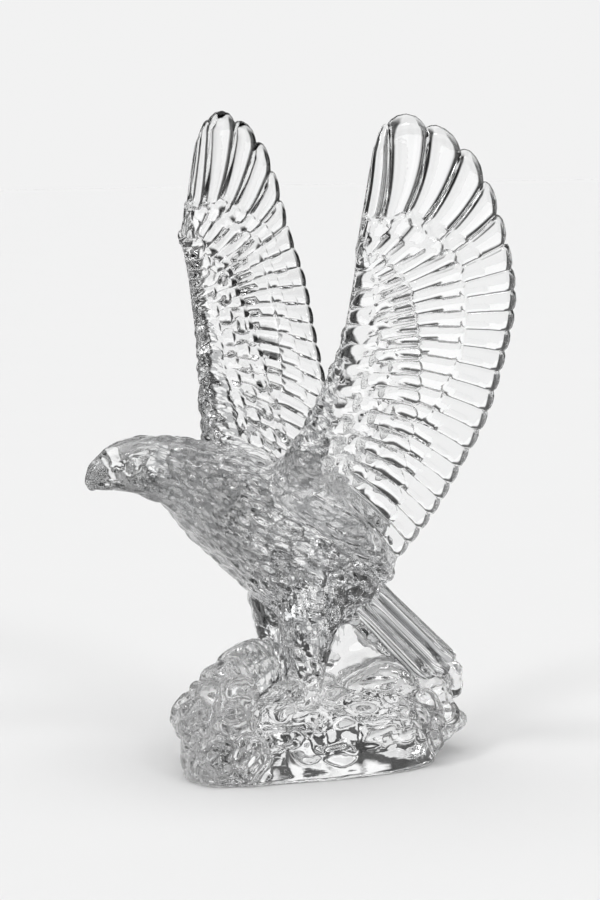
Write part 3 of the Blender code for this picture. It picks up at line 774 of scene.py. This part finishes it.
regionSizes = {
    # spans in mm over which each region fades in, or out where it is bounded
    "onBeak": 0.12,  # share of the down that is left on the beak
    "behindBeak": (-88, -66),
    "overRocks": (36, 44),
    "overShins": (47, 52),
    "shins": ((-13, -15), (-6, 15)),
    "shinWidth": (8, 11),
    "thighTop": (64, 82),
    "thighBottom": (24, 31),
    "thighFront": (-34, -24),
    "thighInside": (14, 22),
    "thighBack": (0, 10),
    "eye": (-83.2, 8.1, 120.0),
    "eyeEdge": (4.0, 7.0),
    "frontLeft": (-50, -40),
    "frontRight": (26, 36),
    "frontFace": (-30, -22),
    "frontTop": (9, 15),
    "rockTop": (30, 38),
    "rockBottom": (0.6, 3.0),
    "wallFront": (-2, 4),
    "wallSide": (12, 16),
    "wallTop": (58, 64),
    "wallBottom": (28, 34),
    # cuts: the line of the closed beak, the nostrils and the ring round the eye
    "mouth": ((-98.5, 114.9), (-94.5, 113.9), (-90.0, 113.7), (-85.0, 112.6)),
    "mouthStart": (-99.5, -98),
    "mouthEnd": (-86, -83),
    "mouthCut": (0.9, 0.75),  # depth and half width
    "nostril": (-91.8, 119.6),
    "nostrilFlat": 1.6,
    "nostrilCut": (0.7, 1.0),
    "eyeRing": 3.4,
    "eyeCut": (1.3, 0.75),
}


def markRegions(core):
    # where down, thigh streaks and rough rock are carved, as a share at each point
    s = regionSizes
    x, y, z = (coordinates(core) / mm).T

    def inside(name, value):
        return smoothStep(*s[name], value)

    def before(name, value):
        return 1 - inside(name, value)

    def cutDepth(name, away):
        return s[name][0] * np.exp(-(away / s[name][1]) ** 2)

    behindBeak = s["onBeak"] + (1 - s["onBeak"]) * inside("behindBeak", x)
    shins = np.minimum(*[np.hypot(x - shinX, y - shinY) for shinX, shinY in s["shins"]])
    bird = inside("overRocks", z) * np.maximum(inside("overShins", z), before("shinWidth", shins))
    thigh = before("thighTop", z + 0.35 * x) * inside("thighBottom", z) * inside("thighFront", x)
    thigh = thigh * before("thighInside", np.abs(y) - 0.5 * (z - 60))
    thigh = thigh * before("thighBack", x)
    eyeX, eyeY, eyeZ = s["eye"]
    eye = np.linalg.norm(np.column_stack((x - eyeX, np.abs(y) - eyeY, z - eyeZ)), axis=1)
    down = bird * behindBeak * (1 - thigh) * inside("eyeEdge", eye)
    # the low front of the rocks is smooth, and so is most of the clear wall
    smooth = inside("frontLeft", x) * before("frontRight", x) * before("frontFace", y) * before("frontTop", z)
    rock = before("rockTop", z) * inside("rockBottom", z) * (1 - 0.93 * smooth)
    wall = inside("wallFront", x) * before("wallSide", np.abs(y)) * before("wallTop", z)
    rock = np.maximum(rock, 0.5 * wall * inside("wallBottom", z))
    down = down * (1 - wall)
    mouth = np.array(s["mouth"])
    away = np.abs(z - np.interp(x, mouth[:, 0], mouth[:, 1]))
    cut = cutDepth("mouthCut", away) * inside("mouthStart", x) * before("mouthEnd", x)
    nostrilX, nostrilZ = s["nostril"]
    nostril = np.sqrt((x - nostrilX) ** 2 + ((z - nostrilZ) * s["nostrilFlat"]) ** 2)
    cut = cut + cutDepth("nostrilCut", nostril) + cutDepth("eyeCut", eye - s["eyeRing"])
    normals = readAll(core.data.vertices, "normal", width=3).reshape(-1, 3)
    moved = coordinates(core) - normals * (cut * mm)[:, None]
    core.data.vertices.foreach_set("co", moved.ravel())
    for name, share in (("down", down), ("thigh", thigh), ("rock", rock)):
        attribute = core.data.attributes.new(name, "FLOAT", "POINT")
        attribute.data.foreach_set("value", share.astype(np.float32))
    return core


def grey(tone):
    return (tone, tone, tone, 1)


def addNode(tree, kind, inputs=(), **settings):
    # inputs are values or sockets to link, by name or in their order
    node = tree.nodes.new(kind)
    for name, value in settings.items():
        setattr(node, name, value)
    for name, value in inputs.items() if isinstance(inputs, dict) else enumerate(inputs):
        if isinstance(value, bpy.types.NodeSocket):
            tree.links.new(value, node.inputs[name])
        else:
            node.inputs[name].default_value = value
    return node


def mathNode(tree, operation, *inputs):
    return addNode(tree, "ShaderNodeMath", inputs, operation=operation).outputs[0]


def mixNode(tree, factor, first, second, blend="MIX"):
    # mix of two colours
    inputs = {"Factor": factor, "A": first, "B": second}
    return addNode(tree, "ShaderNodeMix", inputs, data_type="RGBA", blend_type=blend).outputs["Result"]


def newGroup(name, kind, inputs, outputs):
    # a socket is given by its kind, or by its default when it takes a number
    group = bpy.data.node_groups.new(name, kind)
    for way, sockets in (("INPUT", inputs), ("OUTPUT", outputs)):
        for label, value in sockets.items():
            named = isinstance(value, str)
            socketType = "NodeSocket" + (value if named else "Float")
            socket = group.interface.new_socket(label, in_out=way, socket_type=socketType)
            if not named:
                socket.default_value = value
    return group


def cellsAlong(tree, place, angle, length, width, feature, values):
    # distance from the middles of cells that are stretched along a line turned by the angle
    turn = addNode(tree, "ShaderNodeVectorRotate", {"Vector": place, "Angle": angle}, rotation_type="Y_AXIS")
    sizes = addNode(tree, "ShaderNodeCombineXYZ", (length, width, width))
    cells = addNode(tree, "ShaderNodeVectorMath", (turn.outputs[0], sizes.outputs[0]), operation="DIVIDE")
    inputs = dict(values, Vector=cells.outputs[0], Scale=1.0)
    return addNode(tree, "ShaderNodeTexVoronoi", inputs, feature=feature).outputs["Distance"]


def noiseAt(tree, place, size, detail):
    # noise with lumps of about the size, in metres
    scale = mathNode(tree, "DIVIDE", 1.0, size)
    noise = addNode(tree, "ShaderNodeTexNoise", {"Vector": place, "Scale": scale, "Detail": detail})
    return noise.outputs[0]


def carvingTree():
    # stretched lumps and grain pressed into the surface along its normal, where the mask says
    tree = newGroup("carving", "GeometryNodeTree", {
        "Geometry": "Geometry", "Feather Length": 0.004, "Feather Width": 0.0022, "Depth": 0.0006,
        "Grain Size": 0.0012, "Grain Depth": 0.00018, "Lie Angle": 0.6, "Mask": "String",
        "Material": "Material"}, {"Geometry": "Geometry"})
    given = addNode(tree, "NodeGroupInput").outputs
    position = addNode(tree, "GeometryNodeInputPosition").outputs[0]
    cells = cellsAlong(tree, position, given["Lie Angle"], given["Feather Length"], given["Feather Width"],
                       "F1", {"Randomness": 0.85})
    dome = addNode(tree, "ShaderNodeMapRange", {"Value": cells, "From Min": 0.15, "From Max": 0.75,
                                                "To Min": 0.5, "To Max": -0.5},
                   interpolation_type="SMOOTHSTEP")
    lumps = mathNode(tree, "MULTIPLY", dome.outputs[0], given["Depth"])
    wide = addNode(tree, "ShaderNodeCombineXYZ", (given["Grain Size"],) * 3)
    grains = addNode(tree, "ShaderNodeVectorMath", (position, wide.outputs[0]), operation="DIVIDE")
    noise = addNode(tree, "ShaderNodeTexNoise", {"Vector": grains.outputs[0], "Scale": 1.0, "Detail": 1.0,
                                                 "Distortion": 1.1})
    centred = mathNode(tree, "SUBTRACT", noise.outputs[0], 0.5)
    grain = mathNode(tree, "MULTIPLY_ADD", centred, given["Grain Depth"], lumps)
    mask = addNode(tree, "GeometryNodeInputNamedAttribute", {"Name": given["Mask"]}, data_type="FLOAT")
    height = mathNode(tree, "MULTIPLY", grain, mask.outputs["Attribute"])
    normal = addNode(tree, "GeometryNodeInputNormal").outputs[0]
    offset = addNode(tree, "ShaderNodeVectorMath", {0: normal, "Scale": height}, operation="SCALE")
    press = addNode(tree, "GeometryNodeSetPosition", {"Geometry": given["Geometry"],
                                                      "Offset": offset.outputs[0]})
    real = addNode(tree, "GeometryNodeRealizeInstances", (press.outputs[0],))
    paint = addNode(tree, "GeometryNodeSetMaterial", {"Geometry": real.outputs[0],
                                                      "Material": given["Material"]})
    addNode(tree, "NodeGroupOutput", (paint.outputs[0],))
    return tree


carvingSizes = {
    # lengths in mm, the angle that the lumps lie at in radians
    "down": {"Feather Length": 9.5, "Feather Width": 4.2, "Depth": 0.95, "Grain Size": 6.0,
             "Grain Depth": 0.2},
    "thigh": {"Feather Length": 8.5, "Feather Width": 3.0, "Depth": 0.75, "Grain Size": 4.2,
              "Grain Depth": 0.2},
    "rock": {"Feather Length": 17.0, "Feather Width": 9.5, "Depth": 2.2, "Grain Size": 11.0,
             "Grain Depth": 1.5},
    "lie": {"down": -0.40, "thigh": -1.42, "rock": 0.5},
}


def carve(core, material):
    tree = carvingTree()
    sockets = {item.name: item.identifier for item in tree.interface.items_tree if item.in_out == "INPUT"}
    for mask, angle in carvingSizes["lie"].items():
        press = core.modifiers.new(mask, "NODES")
        press.node_group = tree
        for name, value in carvingSizes[mask].items():
            press[sockets[name]] = value * mm
        press[sockets["Lie Angle"]] = angle
        press[sockets["Mask"]] = mask
        press[sockets["Material"]] = material
    return bake(core)


def surfaceGroup():
    # faint ripples, cooling marks and dust of cast and polished crystal
    group = newGroup("castSurface", "ShaderNodeTree",
                     {"Ripple Size": 0.006, "Grain Size": 0.0009, "Haze": 0.02},
                     {"Height": "Float", "Roughness": "Float", "Tint": "Color"})
    given = addNode(group, "NodeGroupInput").outputs
    place = addNode(group, "ShaderNodeTexCoord").outputs["Object"]
    ripple = noiseAt(group, place, given["Ripple Size"], 2.0)
    grain = noiseAt(group, place, given["Grain Size"], 1.0)
    height = mathNode(group, "MULTIPLY_ADD", grain, 0.12, ripple)
    rough = mathNode(group, "MULTIPLY", ripple, given["Haze"])
    tintAndShade = mixNode(group, ripple, (0.96, 0.965, 0.965, 1), grey(0.99))
    addNode(group, "NodeGroupOutput", {"Height": height, "Roughness": rough, "Tint": tintAndShade})
    return group


def barbGroup():
    # fine carved down: short streaks that lie back along the neck and hang down on the thighs, with painted
    # shade darkening the cuts between them
    group = newGroup("carvedDown", "ShaderNodeTree",
                     {"Length": 0.005, "Width": 0.0015, "Neck Angle": -0.4, "Thigh Angle": -1.4,
                      "Thigh Top": 0.075, "Stipple": 0.0011}, {"Height": "Float", "Tint": "Color"})
    given = addNode(group, "NodeGroupInput").outputs
    place = addNode(group, "ShaderNodeTexCoord").outputs["Object"]
    neck, thigh = [cellsAlong(group, place, given[angle], given["Length"], given["Width"], "SMOOTH_F1",
                              {"Smoothness": 0.15}) for angle in ("Neck Angle", "Thigh Angle")]
    split = addNode(group, "ShaderNodeSeparateXYZ", (place,))
    low = mathNode(group, "SUBTRACT", given["Thigh Top"], split.outputs["Z"])
    change = addNode(group, "ShaderNodeMapRange", {"Value": low, "From Min": -0.008,
                                                   "From Max": 0.008})
    both = addNode(group, "ShaderNodeMix", {"Factor": change.outputs[0], "A": neck, "B": thigh})
    stipple = noiseAt(group, place, given["Stipple"], 0.0)
    height = mathNode(group, "MULTIPLY_ADD", both.outputs["Result"], -1.0, stipple)
    # painted shade: the cuts between the streaks are darkened in the colour
    cuts = addNode(group, "ShaderNodeMapRange", {"Value": both.outputs["Result"], "From Min": 0.47,
                                                 "From Max": 0.58}, interpolation_type="SMOOTHSTEP")
    paintedCutShade = mixNode(group, cuts.outputs[0], grey(1), (0.32, 0.325, 0.33, 1))
    addNode(group, "NodeGroupOutput", {"Height": height, "Tint": paintedCutShade})
    return group


finishSizes = {
    "index": 1.54,  # of the crystal
    "cast": {"Ripple Size": 0.006, "Grain Size": 0.0011, "Haze": 0.03},
    "castBump": {"Strength": 0.12, "Distance": 0.0003},
    "down": {"Length": 0.0046, "Width": 0.0015, "Neck Angle": -0.4, "Thigh Angle": -1.4, "Thigh Top": 0.075,
             "Stipple": 0.0013},
    "tail": {"Length": 0.4, "Width": 0.0034, "Neck Angle": -0.785, "Thigh Angle": -0.785, "Thigh Top": 0.0,
             "Stipple": 0.2},
    "carvedBump": {"Strength": 0.16, "Distance": 0.0005},
    "carvedFrom": 0.45,  # share of down or streaks from which a face takes the carved finish
}


def crystalMaterial(name, castSurface, carvedDown=None, carving=None):
    s = finishSizes
    material = bpy.data.materials.new(name)
    material.use_nodes = True
    tree = material.node_tree
    shader = tree.nodes["Principled BSDF"]
    shader.inputs["IOR"].default_value = s["index"]
    shader.inputs["Metallic"].default_value = 0.0
    shader.inputs["Transmission Weight"].default_value = 1.0
    surface = addNode(tree, "ShaderNodeGroup", s["cast"], node_tree=castSurface)
    bump = addNode(tree, "ShaderNodeBump", dict(s["castBump"], Height=surface.outputs["Height"]))
    tintAndShade = surface.outputs["Tint"]
    if carving:
        down = addNode(tree, "ShaderNodeGroup", carving, node_tree=carvedDown)
        # the carved finish multiplies painted shade from the cuts into the crystal's colour
        tintAndShade = mixNode(tree, 1.0, tintAndShade, down.outputs["Tint"], "MULTIPLY")
        bump = addNode(tree, "ShaderNodeBump", dict(s["carvedBump"], Height=down.outputs["Height"],
                                                    Normal=bump.outputs["Normal"]))
    tree.links.new(bump.outputs["Normal"], shader.inputs["Normal"])
    tree.links.new(surface.outputs["Roughness"], shader.inputs["Roughness"])
    tree.links.new(tintAndShade, shader.inputs["Base Color"])
    return material


def rampNode(tree, stops, factor):
    ramp = addNode(tree, "ShaderNodeValToRGB", {"Fac": factor})
    elements = ramp.color_ramp.elements
    for element, (where, tone) in zip(elements, (stops[0], stops[-1])):
        element.position, element.color = where, grey(tone)
    for where, tone in stops[1:-1]:
        elements.new(where).color = grey(tone)
    return ramp.outputs["Color"]


def panelGroup():
    # white panels that stand round the table with darkness between them, as a tone for each direction
    group = newGroup("studioPanels", "ShaderNodeTree", {"Direction": "Vector"}, {"Tone": "Float"})
    given = addNode(group, "NodeGroupInput").outputs
    split = addNode(group, "ShaderNodeSeparateXYZ", (given["Direction"],))
    angle = mathNode(group, "ARCTAN2", split.outputs["Y"], split.outputs["X"])
    around = addNode(group, "ShaderNodeMapRange", {"Value": angle, "From Min": -math.pi,
                                                   "From Max": math.pi})
    stops, soft = [], studioSizes["panelEdge"]
    for middle, half in studioSizes["panels"]:
        for end, tone in ((-half - soft, 0.0), (-half + soft, 1.0), (half - soft, 1.0), (half + soft, 0.0)):
            stops.append(((middle + end + 180) / 360, tone))
    addNode(group, "NodeGroupOutput", (rampNode(group, sorted(stops), around.outputs[0]),))
    return group


def floorMaterial(panelTones):
    material = bpy.data.materials.new("pale paper sweep")
    material.use_nodes = True
    tree = material.node_tree
    shader = tree.nodes["Principled BSDF"]
    shader.inputs["Roughness"].default_value = 0.9
    shader.inputs["Specular IOR Level"].default_value = 0.1
    place = addNode(tree, "ShaderNodeTexCoord").outputs["Object"]
    noise = addNode(tree, "ShaderNodeTexNoise", {"Vector": place, "Scale": 9.0})
    white = studioSizes["paper"]
    tone = mixNode(tree, noise.outputs[0], grey(white), grey(white * 1.01))
    # painted light and shade: beyond the sweep, the glass sees the paper's colour pale where the panels stand
    # and dark in the gaps between them, while the picture sees plain paper
    panels = addNode(tree, "ShaderNodeGroup", {"Direction": place}, node_tree=panelTones)
    far = addNode(tree, "ShaderNodeVectorMath", (place,), operation="LENGTH")
    near, end = studioSizes["sweep"]
    edge = addNode(tree, "ShaderNodeMapRange", {"Value": far.outputs["Value"], "From Min": near,
                                                "From Max": end}, interpolation_type="SMOOTHSTEP")
    rays = addNode(tree, "ShaderNodeLightPath")
    unseen = mathNode(tree, "SUBTRACT", 1.0, rays.outputs["Is Camera Ray"])
    panelPaintShare = mathNode(tree, "MULTIPLY", edge.outputs[0], unseen)
    paperWithPaintedPanels = mixNode(tree, panelPaintShare, tone, panels.outputs["Tone"], "MULTIPLY")
    tree.links.new(paperWithPaintedPanels, shader.inputs["Base Color"])
    return material


def buildStudio():
    s = studioSizes
    azimuth, elevation = math.radians(s["azimuth"]), math.radians(s["elevation"])
    towards = Vector((math.sin(azimuth) * math.cos(elevation), -math.cos(azimuth) * math.cos(elevation),
                      math.sin(elevation)))
    lens = bpy.data.cameras.new("camera")
    lens.lens = 36 * s["distance"] / s["frameHeight"]
    lens.shift_x = s["shiftX"]
    lens.shift_y = s["shiftY"]
    camera = addObject("camera", lens)
    right = Vector((math.cos(azimuth), math.sin(azimuth), 0))
    up = towards.cross(right)
    place = Vector(s["target"]) + towards * s["distance"]
    camera.matrix_world = Matrix(((right.x, up.x, towards.x, place.x), (right.y, up.y, towards.y, place.y),
                                  (right.z, up.z, towards.z, place.z), (0, 0, 0, 1)))
    bpy.context.scene.camera = camera

    world = bpy.data.worlds.new("studio")
    bpy.context.scene.world = world
    world.use_nodes = True
    tree = world.node_tree
    panelTones = panelGroup()
    direction = addNode(tree, "ShaderNodeTexCoord").outputs["Generated"]
    panels = addNode(tree, "ShaderNodeGroup", {"Direction": direction}, node_tree=panelTones)
    split = addNode(tree, "ShaderNodeSeparateXYZ", (direction,))
    low, high = [rampNode(tree, s[tones], split.outputs["Z"]) for tones in ("lowTones", "highTones")]
    tone = mathNode(tree, "MULTIPLY_ADD", panels.outputs["Tone"], low, high)
    rays = addNode(tree, "ShaderNodeLightPath")
    shown = mixNode(tree, rays.outputs["Is Camera Ray"], tone, grey(s["sky"]))
    tree.links.new(shown, tree.nodes["Background"].inputs["Color"])

    floorMesh = bpy.data.meshes.new("floor")
    reach = s["floorReach"]
    corners = [(-reach, -reach, 0), (reach, -reach, 0), (reach, reach, 0), (-reach, reach, 0)]
    floorMesh.from_pydata(corners, [], [(0, 1, 2, 3)])
    floorMesh.materials.append(floorMaterial(panelTones))
    floor = addObject("floor", floorMesh)
    floor.location.z = -s["floorDrop"]

    for name, (energy, angle, (sideways, above, near)) in s["lamps"].items():
        aim = right * sideways + Vector((0, 0, above)) + towards * near
        lamp = bpy.data.lights.new(name, "SUN")
        lamp.energy = energy
        lamp.angle = math.radians(angle)
        addObject(name, lamp).rotation_euler = aim.to_track_quat("Z", "Y").to_euler()
    bpy.context.scene.view_settings.view_transform = "Standard"
    cycles = bpy.context.scene.cycles
    cycles.max_bounces = cycles.transmission_bounces = s["bounces"]


def markCarved(core):
    # faces of the bird itself take the carved finish, the rock and the clear wall the polished one
    regions = core.data.attributes
    down, thigh = [readAll(regions[name].data, "value", np.float32) for name in ("down", "thigh")]
    loops = readAll(core.data.loops, "vertex_index", np.int32)
    starts = readAll(core.data.polygons, "loop_start", np.int32)
    index = (np.maximum(down, thigh)[loops[starts]] > finishSizes["carvedFrom"]).astype(np.int32)
    core.data.polygons.foreach_set("material_index", index)
    return core


def buildEagle():
    castSurface, carvedDown = surfaceGroup(), barbGroup()
    finishes = [crystalMaterial("clear crystal", castSurface),
                crystalMaterial("carved crystal with painted cut shade", castSurface, carvedDown, finishSizes["down"]),
                crystalMaterial("streaked crystal with painted cut shade", castSurface, carvedDown, finishSizes["tail"])]
    core = markRegions(buildCore())
    print("core cast", triangles(core), "triangles")
    core = carve(core, finishes[0])
    thin = core.modifiers.new("thin", "DECIMATE")
    thin.ratio = min(1.0, coreSizes["triangles"] / triangles(core))
    bake(core)
    wings = [buildWing("leftWing", -1), buildWing("rightWing", 1)]
    tail = buildTail()
    for piece in [core, tail] + wings:
        piece.data.materials.clear()
        for finish in finishes:
            piece.data.materials.append(finish)
    points = coordinates(core)
    points[:, 2] = np.where(points[:, 2] < coreSizes["flat"] * mm, 0, points[:, 2])
    core.data.vertices.foreach_set("co", points.ravel())
    markCarved(core)
    tail.data.polygons.foreach_set("material_index", np.full(len(tail.data.polygons), 2, dtype=np.int32))
    print("down carved", triangles(core), "triangles, wings", [triangles(wing) for wing in wings])
    eagle = unite(core, wings + [tail])
    print("bubbles dropped, points", dropBubbles(eagle))
    print("eagle united", triangles(eagle), "triangles")
    eagle.name = "eagle_crystal"
    for name in ("down", "thigh", "rock"):
        if name in eagle.data.attributes:
            eagle.data.attributes.remove(eagle.data.attributes[name])
    eagle.data.shade_smooth()
    eagle.data.set_sharp_from_angle(angle=math.radians(coreSizes["sharp"]))
    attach(eagle, "root")
    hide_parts("crystal_eagle")
    return eagle


buildStudio()
print("studio set")
eagle = buildEagle()
